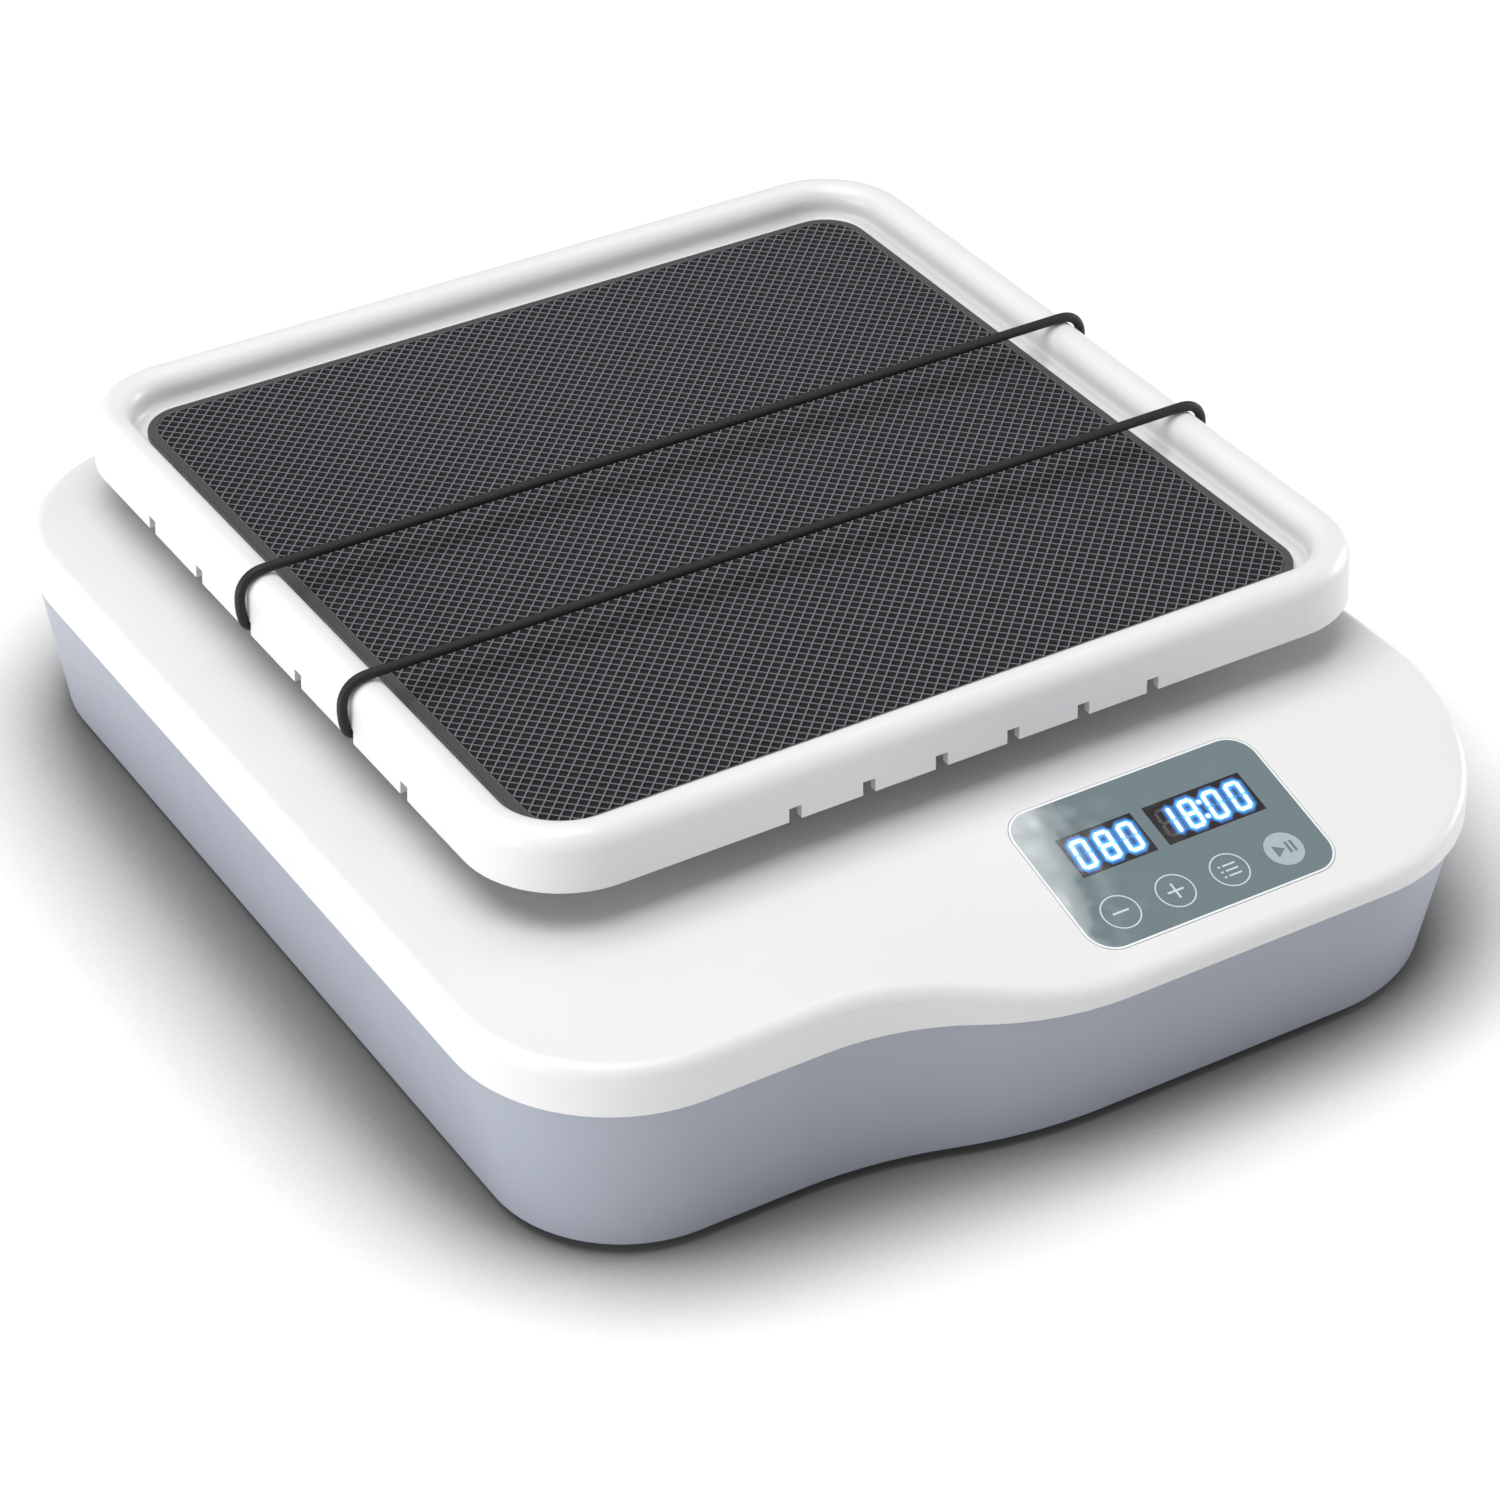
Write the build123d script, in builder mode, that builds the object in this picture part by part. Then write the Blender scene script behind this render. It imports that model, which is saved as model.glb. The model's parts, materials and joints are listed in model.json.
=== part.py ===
# Orbital shaker for staining and destaining gels: a low base with a sloping nose for the
# controls, and a square tray that an eccentric crank carries round in a small circle.
# Millimetres, +Z up. The origin is on the table, under the middle of the base.
import os
from math import cos, radians, sin, sqrt, tan
from build123d import *

os.makedirs("parts", exist_ok=True)

# Base outline at the joint of cover and housing, seen from above
base_half_width = 165.0
base_rear = 193.0
nose_front = -193.0
shoulder_front = -178.0
rear_corner = 55.0
shoulder_corner = 50.0
nose_corner = 60.0
swerve_radius = 147.0
swerve_left = -54.3
swerve_right = -8.7
swerve_angle = 18.2
swerve_reach = 23.6

# The housing draws in towards its floor
side_draw_in = 8.5
front_draw_in = 4.5
wall = 2.5
cover_overhang = 0.5
cover_edge_radius = 4.0
lip_height = 3.0
lip_thickness = 1.4

# Heights above the table
foot_height = 4.0
floor_top = foot_height + wall
deck_bottom = 42.0
deck_thickness = 3.0
deck_top = deck_bottom + deck_thickness
seam_height = 54.0
cover_height = 70.0
crank_bottom = 73.0
crank_thickness = 8.0
skirt_bottom = 84.0
mat_top = 93.4
mat_thickness = 2.4
crown_top = 102.5

# The nose: its slope, where it starts and how softly, and how far the joint dips there
nose_slope = 15.0
slope_start = -126.0
slope_softness = 6.0
seam_dip = 8.0
dip_rear = -112.0
dip_front = -147.0

# Tray
tray_size = 300.0
tray_corner = 31.8
crown_radius = 6.0
cove_radius = 3.5
rim_wall = 2.5
tray_floor = 3.0
skirt_draft = 0.6

# Orbit: the crank turns about the drive centre and carries the tray on its pin
orbit_radius = 12.5
drive_y = 33.0
tray_x = orbit_radius
tray_y = drive_y

# Drive
shaft_radius = 6.0
pin_radius = 5.0
big_pulley_radius = 45.0
small_pulley_radius = 12.0
motor_y = -75.0
belt_gap = 0.3
belt_thickness = 1.8
belt_bottom = 54.4
belt_width = 7.2
pulley_bottom = 53.0
pulley_height = 10.0
idler_x = 95.0
idler_rear = drive_y + 95.0
idler_front = drive_y - 95.0
idler_shaft_radius = 4.0
seal_radius = 13.0
hub_radius = 30.0
idler_hole_radius = 7.0
run_gap = 0.05
loose_gap = 0.3

# Control panel
panel_width = 87.0
panel_length = 55.5
panel_corner = 9.5
panel_thickness = 1.5
panel_gap = 0.15
board_depth = 8.5
board_thickness = 1.6
panel_x = 54.0
panel_y = -156.4

# Windows and keys on the panel, from its middle: x, y, width, height
speed_window = (-18.5, 7.5, 28.0, 13.2)
timer_window = (18.5, 7.5, 39.5, 13.2)
key_x = (-30.0, -10.8, 8.4, 27.6)
key_y = -16.0

# Notches in the tray's skirt, the ribs under its floor, the mat and the cord
notch_pitch_sides = 33.1
notch_pitch_ends = 24.6
notch_width = 4.2
notch_height = 4.4
rib_height = 3.0
rib_width = 2.0
mat_size = 265.6
cord_radius = 1.6

# Sockets at the back
rocker_body_width = 21.0
rocker_body_height = 16.0
rocker_tilt = 8.0
inlet_radius = 5.5

bearing_tube_radius = 22.0
idler_tube_radius = 11.0


# Everything above the cover's face: level behind and on the left, and on the nose a ramp that
# starts softly. Each curved patch is a Bezier surface, the product of a share across and a fall forward.
def above_cover(lower=0.0):
    z = cover_height - lower
    far = 205.0
    soft = slope_softness
    rise = 60.0
    left = swerve_left - swerve_reach
    right = swerve_right + swerve_reach
    across = (((left, right), (0.0, 0.0, 1.0, 1.0)), ((right, far), (1.0, 1.0)))
    forward = (((slope_start + soft, slope_start - soft), (0.0, 0.0, soft)),
               ((slope_start - soft, -far), (soft, far + slope_start)))
    with BuildPart() as space:
        with Locations((-far, -far, z)):
            Box(left + far, 2 * far, rise, align=Align.MIN)
        with Locations((left, slope_start + soft, z)):
            Box(far - left, far - slope_start - soft, rise, align=Align.MIN)
        for (x0, x1), shares in across:
            for (y0, y1), falls in forward:
                net = []
                for i, share in enumerate(shares):
                    x = x0 + (x1 - x0) * i / (len(shares) - 1)
                    row = []
                    for j, fall in enumerate(falls):
                        y = y0 + (y1 - y0) * j / (len(falls) - 1)
                        row.append((x, y, z - tan(radians(nose_slope)) * share * fall))
                    net.append(row)
                extrude(Face.make_bezier_surface(net), amount=rise, dir=(0, 0, 1))
    return space.part


# Everything above the joint of cover and housing, which dips under the nose in two soft steps
def above_joint():
    far = 205.0
    dipped = seam_height - seam_dip
    with BuildPart() as space:
        with BuildSketch(Plane(origin=(0, far, 0), x_dir=(1, 0, 0), z_dir=(0, -1, 0))):
            with BuildLine():
                step = FilletPolyline(
                    (-far, seam_height), (swerve_left, seam_height), (swerve_right, dipped), (far, dipped),
                    radius=260.0,
                )
                Polyline(step @ 1, (far, 90.0), (-far, 90.0), step @ 0)
            make_face()
        extrude(amount=2 * far)
        with BuildSketch(Plane(origin=(-far, 0, 0), x_dir=(0, 1, 0), z_dir=(1, 0, 0))):
            with BuildLine():
                step = FilletPolyline(
                    (far, seam_height), (dip_rear, seam_height), (dip_front, dipped), (-far, dipped),
                    radius=150.0,
                )
                Polyline(step @ 1, (-far, 90.0), (far, 90.0), step @ 0)
            make_face()
        extrude(amount=2 * far, mode=Mode.INTERSECT)
    return space.part


# Base outline at height z, drawn in evenly by inset and more towards the floor by draw (0 to 1)
def base_outline(z, inset=0.0, draw=0.0):
    side = base_half_width - inset - side_draw_in * draw
    rear = base_rear - inset
    nose = nose_front + inset + front_draw_in * draw
    shoulder = shoulder_front + inset + front_draw_in * draw
    shift = inset * tan(radians(swerve_angle / 2)) - 4.0 * draw
    with BuildSketch(Plane.XY.offset(z)) as face:
        with BuildLine():
            FilletPolyline(
                (-side, rear),
                (side, rear),
                (side, nose),
                (swerve_right + shift, nose),
                (swerve_left + shift, shoulder),
                (-side, shoulder),
                radius=[
                    rear_corner - inset - 5.0 * draw,
                    rear_corner - inset - 5.0 * draw,
                    nose_corner - inset,
                    swerve_radius - inset,
                    swerve_radius + inset,
                    shoulder_corner - inset - 8.0 * draw,
                ],
                close=True,
            )
        make_face()
    return face.sketch


# Where things stand
deck_posts = [(x, y) for x in (-112.0, 112.0) for y in (150.0, 33.0, -84.0)]
cover_posts = [
    (-108.0, 180.0), (108.0, 180.0), (-146.0, 33.0), (146.0, 33.0), (-100.0, -164.0), (128.0, -152.0),
]
feet = [(-132.0, 155.0), (132.0, 155.0), (-130.0, -130.0), (132.0, -122.0)]
idlers = {
    "front_left": (-idler_x, idler_front),
    "front_right": (idler_x, idler_front),
    "rear_left": (-idler_x, idler_rear),
    "rear_right": (idler_x, idler_rear),
}
driver_board_y = 125.0
driver_board_posts = [(x, driver_board_y + y) for x in (-35.0, 35.0) for y in (-22.0, 22.0)]
driver_board_bottom = 12.5
rocker_x = 85.0
inlet_x = 50.0
socket_z = 30.0
rear_face = base_rear - cover_overhang
recess_floor = rear_face - 4.0
post_radius = 6.0
cover_screw_seat = 38.0
cover_post_bottom = 46.0
UP = (Align.CENTER, Align.CENTER, Align.MIN)
DOWN = (Align.CENTER, Align.CENTER, Align.MAX)


def write(piece, name):
    piece.part.label = name
    export_step(piece.part, f"parts/{name}.step")


# A round piece turned about the upright axis through (x, y), from its (radius, height) outline
def turned(x, y, *outline):
    with BuildPart() as piece:
        with BuildSketch(Plane(origin=(x, y, 0), x_dir=(1, 0, 0), z_dir=(0, -1, 0))):
            with BuildLine():
                Polyline(*outline, close=True)
            make_face()
        revolve(axis=Axis((x, y, 0), (0, 0, 1)))
    return piece


# A group of screws at (x, y) places: head from seat upward (or downward), shank the other way
def screws(places, seat, head_radius, head_height, shank_radius, shank_length, head_up=True):
    head, shank = (UP, DOWN) if head_up else (DOWN, UP)
    with BuildPart() as group:
        with Locations((0, 0, seat)):
            with Locations(*places):
                Cylinder(head_radius, head_height, align=head)
                Cylinder(shank_radius, shank_length, align=shank)
    return group


# A sealed ball bearing's outer ring with its two shields, and its inner ring
def outer_ring(x, y, bottom, width, outside, inside, shield):
    top = bottom + width
    thin = 0.6
    return turned(
        x, y,
        (outside, bottom), (outside, top), (shield, top), (shield, top - thin), (inside, top - thin),
        (inside, bottom + thin), (shield, bottom + thin), (shield, bottom),
    )


def inner_ring(x, y, bottom, width, bore, outside):
    top = bottom + width
    return turned(x, y, (bore, bottom), (outside, bottom), (outside, top), (bore, top))


# Moulded housing: a drawn-in tub whose upper edge dips under the nose
over_joint = above_joint()
with BuildPart() as base_housing:
    add(base_outline(foot_height, cover_overhang, 1.0))
    add(base_outline(seam_height + 3.0, cover_overhang, -0.06))
    loft(ruled=True)
    add(base_outline(floor_top, cover_overhang + wall, 0.95))
    add(base_outline(seam_height + 4.0, cover_overhang + wall, -0.08))
    loft(ruled=True, mode=Mode.SUBTRACT)
    with Locations((0, 0, floor_top)):
        with Locations(*deck_posts):
            Cylinder(post_radius, deck_bottom - floor_top, align=UP)
        with Locations(*cover_posts):
            Cylinder(post_radius, cover_post_bottom - floor_top, align=UP)
        with Locations(*feet):
            Cylinder(post_radius, 8.0, align=UP)
        with Locations(*driver_board_posts):
            Cylinder(3.5, driver_board_bottom - floor_top, align=UP)
    with Locations((0, 0, deck_bottom)):
        with Locations(*deck_posts):
            Cylinder(1.6, 12.0, align=DOWN, mode=Mode.SUBTRACT)
    with Locations((0, 0, foot_height)):
        with Locations(*cover_posts):
            Cylinder(4.2, cover_screw_seat - foot_height, align=UP, mode=Mode.SUBTRACT)
            Cylinder(2.2, cover_post_bottom, align=UP, mode=Mode.SUBTRACT)
        with Locations(*feet):
            Cylinder(1.6, 9.0, align=UP, mode=Mode.SUBTRACT)
    with Locations((0, 0, driver_board_bottom)):
        with Locations(*driver_board_posts):
            Cylinder(1.25, 5.0, align=DOWN, mode=Mode.SUBTRACT)
    # Recess at the back for the power switch and the inlet
    with Locations(((rocker_x + inlet_x) / 2 + 3, recess_floor - 3.0, socket_z)):
        Box(78.0, 5.0, 34.0, align=(Align.CENTER, Align.MIN, Align.CENTER))
    with Locations(((rocker_x + inlet_x) / 2 + 3, recess_floor, socket_z)):
        Box(70.0, 10.0, 26.0, align=(Align.CENTER, Align.MIN, Align.CENTER), mode=Mode.SUBTRACT)
    with Locations((rocker_x, recess_floor, socket_z)):
        Box(rocker_body_width, 12.0, rocker_body_height, mode=Mode.SUBTRACT)
    with Locations(Location((inlet_x, recess_floor, socket_z), (90, 0, 0))):
        Cylinder(inlet_radius, 12.0, mode=Mode.SUBTRACT)
    add(over_joint, mode=Mode.SUBTRACT)
write(base_housing, "base_housing")

# Panel plane: on the nose's slope, at the middle of the control panel
panel_plane = Plane(
    origin=(panel_x, panel_y, cover_height - tan(radians(nose_slope)) * (slope_start - panel_y)),
    x_dir=(1, 0, 0),
    z_dir=(0, -sin(radians(nose_slope)), cos(radians(nose_slope))),
)
board_posts = [(x, y) for x in (-45.5, 45.5) for y in (-20.0, 20.0)]

# Lip that locates the top cover inside the housing, filled in for now
lip_inset = cover_overhang + wall + loose_gap
with BuildPart() as cover_lip:
    add(base_outline(floor_top, lip_inset, 0.95))
    add(base_outline(seam_height + 4.0, lip_inset, -0.08))
    loft(ruled=True)
    add(over_joint.moved(Location((0, 0, -lip_height))), mode=Mode.INTERSECT)
    add(above_cover(wall / 2), mode=Mode.SUBTRACT)

# Space inside the top cover: narrower behind the lip than above it
with BuildPart() as cover_space:
    add(base_outline(seam_height - 20.0, wall))
    extrude(amount=cover_height - seam_height + 30.0)
    add(over_joint.moved(Location((0, 0, 2.0))), mode=Mode.INTERSECT)
    add(base_outline(floor_top, lip_inset + lip_thickness, 0.95))
    add(base_outline(seam_height + 4.0, lip_inset + lip_thickness, -0.08))
    loft(ruled=True)
    add(above_cover(wall), mode=Mode.SUBTRACT)

# Bosses under the cover for its screws, up to the middle of its wall
with BuildPart() as cover_bosses:
    with Locations((0, 0, cover_post_bottom)):
        with Locations(*cover_posts):
            Cylinder(4.5, cover_height - cover_post_bottom, align=UP)
            Cylinder(1.6, 5.0, align=UP, mode=Mode.SUBTRACT)
    add(above_cover(wall / 2), mode=Mode.SUBTRACT)

# Moulded top cover: level behind, sloping away on the nose, with a soft edge all round
with BuildPart() as top_cover:
    add(base_outline(seam_height - 20.0))
    extrude(amount=cover_height - seam_height + 30.0)
    add(above_cover(), mode=Mode.SUBTRACT)
    top_edges = []
    for face in top_cover.faces().filter_by(lambda f: f.normal_at().Z > 0.9):
        top_edges.extend(face.edges())
    fillet([edge for edge in top_edges if top_edges.count(edge) == 1], cover_edge_radius)
    add(over_joint, mode=Mode.INTERSECT)
    add(cover_lip.part)
    add(cover_space.part, mode=Mode.SUBTRACT)
    with Locations((0, drive_y, cover_height)):
        Cylinder(seal_radius, 12.0, mode=Mode.SUBTRACT)
    with Locations((0, 0, cover_height)):
        with Locations(*idlers.values()):
            Cylinder(idler_hole_radius, 12.0, mode=Mode.SUBTRACT)
    add(cover_bosses.part)
    with Locations(panel_plane):
        with Locations(*[(x, y, -board_depth) for x, y in board_posts]):
            Cylinder(3.5, board_depth - 1.0, align=UP)
            Cylinder(1.25, 5.0, align=UP, mode=Mode.SUBTRACT)
    with BuildSketch(panel_plane):
        RectangleRounded(panel_width - 6.0, panel_length - 6.0, panel_corner - 3.0)
    extrude(amount=-6.0, mode=Mode.SUBTRACT)
    with BuildSketch(panel_plane.offset(-panel_thickness)):
        RectangleRounded(panel_width, panel_length, panel_corner)
    extrude(amount=4.0, mode=Mode.SUBTRACT)
write(top_cover, "top_cover")

# Control panel: one tinted lens over two displays and four touch pads
with BuildPart() as control_panel:
    with BuildSketch(panel_plane.offset(-panel_thickness)):
        RectangleRounded(
            panel_width - 2 * panel_gap, panel_length - 2 * panel_gap, panel_corner - panel_gap,
        )
    extrude(amount=panel_thickness)
write(control_panel, "control_panel")


# A plain block between two depths behind the panel's face
def behind_panel(x, y, width, height, near, far):
    with BuildPart() as block:
        with BuildSketch(panel_plane.offset(-far)):
            with Locations((x, y)):
                Rectangle(width, height)
        extrude(amount=far - near)
    return block


write(behind_panel(*speed_window, panel_thickness, board_depth), "speed_display")
write(behind_panel(*timer_window, panel_thickness, board_depth), "timer_display")

with BuildPart() as touch_pads:
    with BuildSketch(panel_plane.offset(-board_depth)):
        with Locations(*[(x, key_y) for x in key_x]):
            Circle(5.0)
    extrude(amount=board_depth - panel_thickness)
write(touch_pads, "touch_pads")

with BuildPart() as control_board:
    with BuildSketch(panel_plane.offset(-board_depth)):
        Rectangle(98.0, 46.0)
        with Locations(*board_posts):
            Circle(1.6, mode=Mode.SUBTRACT)
    extrude(amount=-board_thickness)
write(control_board, "control_board")

with BuildPart() as board_screws:
    with BuildSketch(panel_plane.offset(-board_depth - board_thickness)):
        with Locations(*board_posts):
            Circle(2.8)
    extrude(amount=-1.6)
    with BuildSketch(panel_plane.offset(-board_depth - board_thickness)):
        with Locations(*board_posts):
            Circle(1.25)
    extrude(amount=6.0)
    with Locations((0, 0, driver_board_bottom + board_thickness)):
        with Locations(*driver_board_posts):
            Cylinder(2.8, 1.6, align=UP)
            Cylinder(1.25, 6.0, align=DOWN)
write(board_screws, "board_screws")

# Driver board on the floor, with its capacitors, heat sink and plugs
with BuildPart() as driver_board:
    with Locations((0, driver_board_y, driver_board_bottom)):
        Box(80.0, 54.0, board_thickness, align=UP)
    with Locations((0, 0, driver_board_bottom)):
        with Locations(*driver_board_posts):
            Cylinder(1.6, 8.0, mode=Mode.SUBTRACT)
write(driver_board, "driver_board")
with BuildPart() as driver_parts:
    with Locations((-22, driver_board_y + 8, driver_board_bottom + board_thickness)):
        with Locations((0, 0), (16, 0)):
            Cylinder(6.0, 18.0, align=UP)
    with Locations((22, driver_board_y - 4, driver_board_bottom + board_thickness)):
        Box(8.0, 30.0, 20.0, align=UP)
    with Locations((-14, driver_board_y - 18, driver_board_bottom + board_thickness)):
        with Locations((-10, 0), (10, 0)):
            Box(14.0, 6.0, 8.0, align=UP)
write(driver_parts, "driver_board_parts")

# Steel deck that carries the drive, on the housing's posts
main_screw_places = [(x, drive_y + y) for x in (-19.0, 19.0) for y in (-19.0, 19.0)]
motor_screw_places = [(x, motor_y + y) for x in (-13.0, 13.0) for y in (-13.0, 13.0)]
idler_screw_places = [(x + side, y) for x, y in idlers.values() for side in (-14.0, 14.0)]
with BuildPart() as deck_plate:
    with BuildSketch(Plane.XY.offset(deck_bottom)):
        with Locations((0, drive_y)):
            RectangleRounded(244.0, 254.0, 18.0)
            Circle(bearing_tube_radius, mode=Mode.SUBTRACT)
        with Locations(*idlers.values()):
            Circle(idler_tube_radius, mode=Mode.SUBTRACT)
        with Locations((0, motor_y)):
            Circle(10.0, mode=Mode.SUBTRACT)
        with Locations(*main_screw_places, *motor_screw_places, *deck_posts):
            Circle(2.0, mode=Mode.SUBTRACT)
        with Locations(*idler_screw_places):
            Circle(1.5, mode=Mode.SUBTRACT)
    extrude(amount=deck_thickness)
write(deck_plate, "deck_plate")
write(screws(deck_posts, deck_top, 4.0, 2.6, 1.6, 14.0), "deck_screws")

# Main bearing housing with its two sealed ball bearings
lower_bearing = 19.0
upper_bearing = 39.0
bearing_width = 8.0
bearing_top = deck_top + 4.0
with BuildPart() as bearing_housing:
    add(turned(
        0, drive_y,
        (14.0, 17.0), (bearing_tube_radius, 17.0), (bearing_tube_radius, deck_top), (33.0, deck_top),
        (33.0, bearing_top), (14.0, bearing_top), (14.0, upper_bearing), (12.0, upper_bearing),
        (12.0, lower_bearing + bearing_width), (14.0, lower_bearing + bearing_width),
    ).part)
    with Locations((0, 0, bearing_top)):
        with Locations(*main_screw_places):
            Cylinder(2.0, 12.0, mode=Mode.SUBTRACT)
write(bearing_housing, "bearing_housing")
write(screws(main_screw_places, bearing_top, 3.5, 2.4, 1.6, 7.0), "bearing_housing_screws")
for name, bottom in (("lower", lower_bearing), ("upper", upper_bearing)):
    write(outer_ring(0, drive_y, bottom, bearing_width, 14.0, 11.8, 8.6), f"{name}_bearing_outer")
    write(inner_ring(0, drive_y, bottom, bearing_width, shaft_radius, 8.3), f"{name}_bearing_inner")

# Crank: shaft, pulley, counterweighted disc and the pin that carries the tray
pulley_top = pulley_bottom + pulley_height
crank_top = crank_bottom + crank_thickness
write(turned(
    0, drive_y, (0, 16.5), (shaft_radius, 16.5), (shaft_radius, crank_top), (0, crank_top),
), "main_shaft")
write(inner_ring(0, drive_y, lower_bearing - 1.0, 1.0, shaft_radius, 8.0), "shaft_clip")
with BuildPart() as driven_pulley:
    add(turned(
        0, drive_y,
        (shaft_radius, upper_bearing + bearing_width), (8.0, upper_bearing + bearing_width),
        (8.0, pulley_bottom - 1.0), (12.0, pulley_bottom), (12.0, pulley_bottom + 3.0),
        (38.0, pulley_bottom + 3.0), (40.0, pulley_bottom), (47.5, pulley_bottom),
        (47.5, pulley_bottom + 1.0), (big_pulley_radius, pulley_bottom + 1.2),
        (big_pulley_radius, pulley_top - 1.2), (47.5, pulley_top - 1.0), (47.5, pulley_top),
        (40.0, pulley_top), (38.0, pulley_bottom + 6.0), (12.0, pulley_bottom + 6.0),
        (12.0, pulley_top), (shaft_radius, pulley_top),
    ).part)
    with Locations((0, drive_y, pulley_bottom)):
        with PolarLocations(25.0, 6):
            Cylinder(8.0, 30.0, mode=Mode.SUBTRACT)
write(driven_pulley, "driven_pulley")
with BuildPart() as crank_disc:
    with BuildSketch(Plane.XY.offset(crank_bottom)):
        with Locations((0, drive_y)):
            Circle(22.0)
        with BuildLine(Plane((0, drive_y, 0))):
            arc = CenterArc((0, 0), 44.0, 118.0, 124.0)
            Line((0, 0), arc @ 0)
            Line((0, 0), arc @ 1)
        make_face()
        with Locations((0, drive_y)):
            Circle(shaft_radius, mode=Mode.SUBTRACT)
        with Locations((orbit_radius, drive_y)):
            Circle(pin_radius - 1.0, mode=Mode.SUBTRACT)
    extrude(amount=crank_thickness)
write(crank_disc, "crank_disc")
pin_collar = crank_top + 1.9
write(turned(
    tray_x, tray_y,
    (0, crank_bottom), (pin_radius - 1.0, crank_bottom), (pin_radius - 1.0, crank_top), (6.4, crank_top),
    (6.4, pin_collar), (pin_radius, pin_collar), (pin_radius, 87.4), (0, 87.4),
), "crank_pin")
write(turned(
    0, drive_y,
    (shaft_radius + loose_gap, cover_height - 4.0), (seal_radius, cover_height - 4.0),
    (seal_radius, cover_height), (16.0, cover_height), (15.0, cover_height + 1.4),
    (shaft_radius + loose_gap, cover_height + 1.4),
), "shaft_seal")

# Motor under the deck, its pulley above it, and the belt
with BuildPart() as motor_body:
    with Locations((0, motor_y, deck_bottom)):
        Cylinder(25.0, 33.0, align=DOWN)
        fillet(motor_body.edges().filter_by(GeomType.CIRCLE).group_by(Axis.Z)[0], 2.0)
        Cylinder(10.0, deck_thickness, align=UP)
        Cylinder(3.0 + run_gap, 12.0, mode=Mode.SUBTRACT)
    with Locations((0, 0, deck_bottom)):
        with Locations(*motor_screw_places):
            Cylinder(1.5, 6.0, align=DOWN, mode=Mode.SUBTRACT)
write(motor_body, "motor_body")
write(screws(motor_screw_places, deck_top, 3.0, 2.2, 1.5, 8.0), "motor_screws")
write(turned(0, motor_y, (0, 36.5), (3.0, 36.5), (3.0, 64.0), (0, 64.0)), "motor_shaft")
write(turned(
    0, motor_y,
    (3.0, deck_top + 3.5), (7.0, deck_top + 3.5), (7.0, pulley_bottom), (14.5, pulley_bottom),
    (14.5, pulley_bottom + 1.0), (small_pulley_radius, pulley_bottom + 1.2),
    (small_pulley_radius, pulley_top - 1.2), (14.5, pulley_top - 1.0), (14.5, pulley_top),
    (3.0, pulley_top),
), "motor_pulley")


# Outline round both pulleys at a distance from their rims
def belt_loop(distance):
    with BuildSketch(Plane.XY.offset(belt_bottom)) as loop:
        with Locations((0, drive_y)):
            Circle(big_pulley_radius + distance)
        with Locations((0, motor_y)):
            Circle(small_pulley_radius + distance)
        make_hull()
    return loop.sketch


with BuildPart() as drive_belt:
    add(belt_loop(belt_gap + belt_thickness))
    extrude(amount=belt_width)
    add(belt_loop(belt_gap))
    extrude(amount=belt_width, mode=Mode.SUBTRACT)
write(drive_belt, "drive_belt")

# Four idler cranks keep the tray square to the base
idler_top = crank_bottom + 6.0
sleeve_bottom = 20.0
sleeve_top = 60.0
for place, (x, y) in idlers.items():
    with BuildPart() as idler_housing:
        add(turned(
            x, y,
            (6.0, sleeve_bottom), (idler_tube_radius, sleeve_bottom), (idler_tube_radius, deck_top),
            (18.0, deck_top), (18.0, deck_top + 3.0), (11.0, deck_top + 3.0), (9.0, sleeve_top),
            (6.0, sleeve_top),
        ).part)
        with Locations((0, 0, deck_top)):
            with Locations((x - 14.0, y), (x + 14.0, y)):
                Cylinder(1.5, 12.0, mode=Mode.SUBTRACT)
    write(idler_housing, f"idler_housing_{place}")
    bore = idler_shaft_radius + run_gap
    write(turned(
        x, y,
        (bore, sleeve_bottom), (6.0, sleeve_bottom), (6.0, sleeve_top), (8.5, sleeve_top),
        (8.5, sleeve_top + 1.5), (bore, sleeve_top + 1.5),
    ), f"idler_sleeve_{place}")
    with BuildPart() as idler_crank:
        with Locations((x, y, sleeve_bottom - 1.0)):
            Cylinder(idler_shaft_radius, crank_bottom - sleeve_bottom + 1.0, align=UP)
        with Locations((x, y, sleeve_top + 1.8)):
            Cylinder(6.5, 2.5, align=UP)
        with Locations((x, y, crank_bottom)):
            Cylinder(18.5, idler_top - crank_bottom, align=UP)
        chamfer(idler_crank.faces().sort_by(Axis.Z)[-1].edges(), 0.8)
        with Locations((x + orbit_radius, y, idler_top)):
            Cylinder(idler_shaft_radius, 8.2, align=UP)
    write(idler_crank, f"idler_crank_{place}")
    bore = idler_shaft_radius + loose_gap
    write(inner_ring(x + orbit_radius, y, 82.4, 5.2, bore, 7.0), f"tray_bush_{place}")
write(screws(idler_screw_places, deck_top + 3.0, 2.8, 2.0, 1.5, 6.0), "idler_screws")

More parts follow.
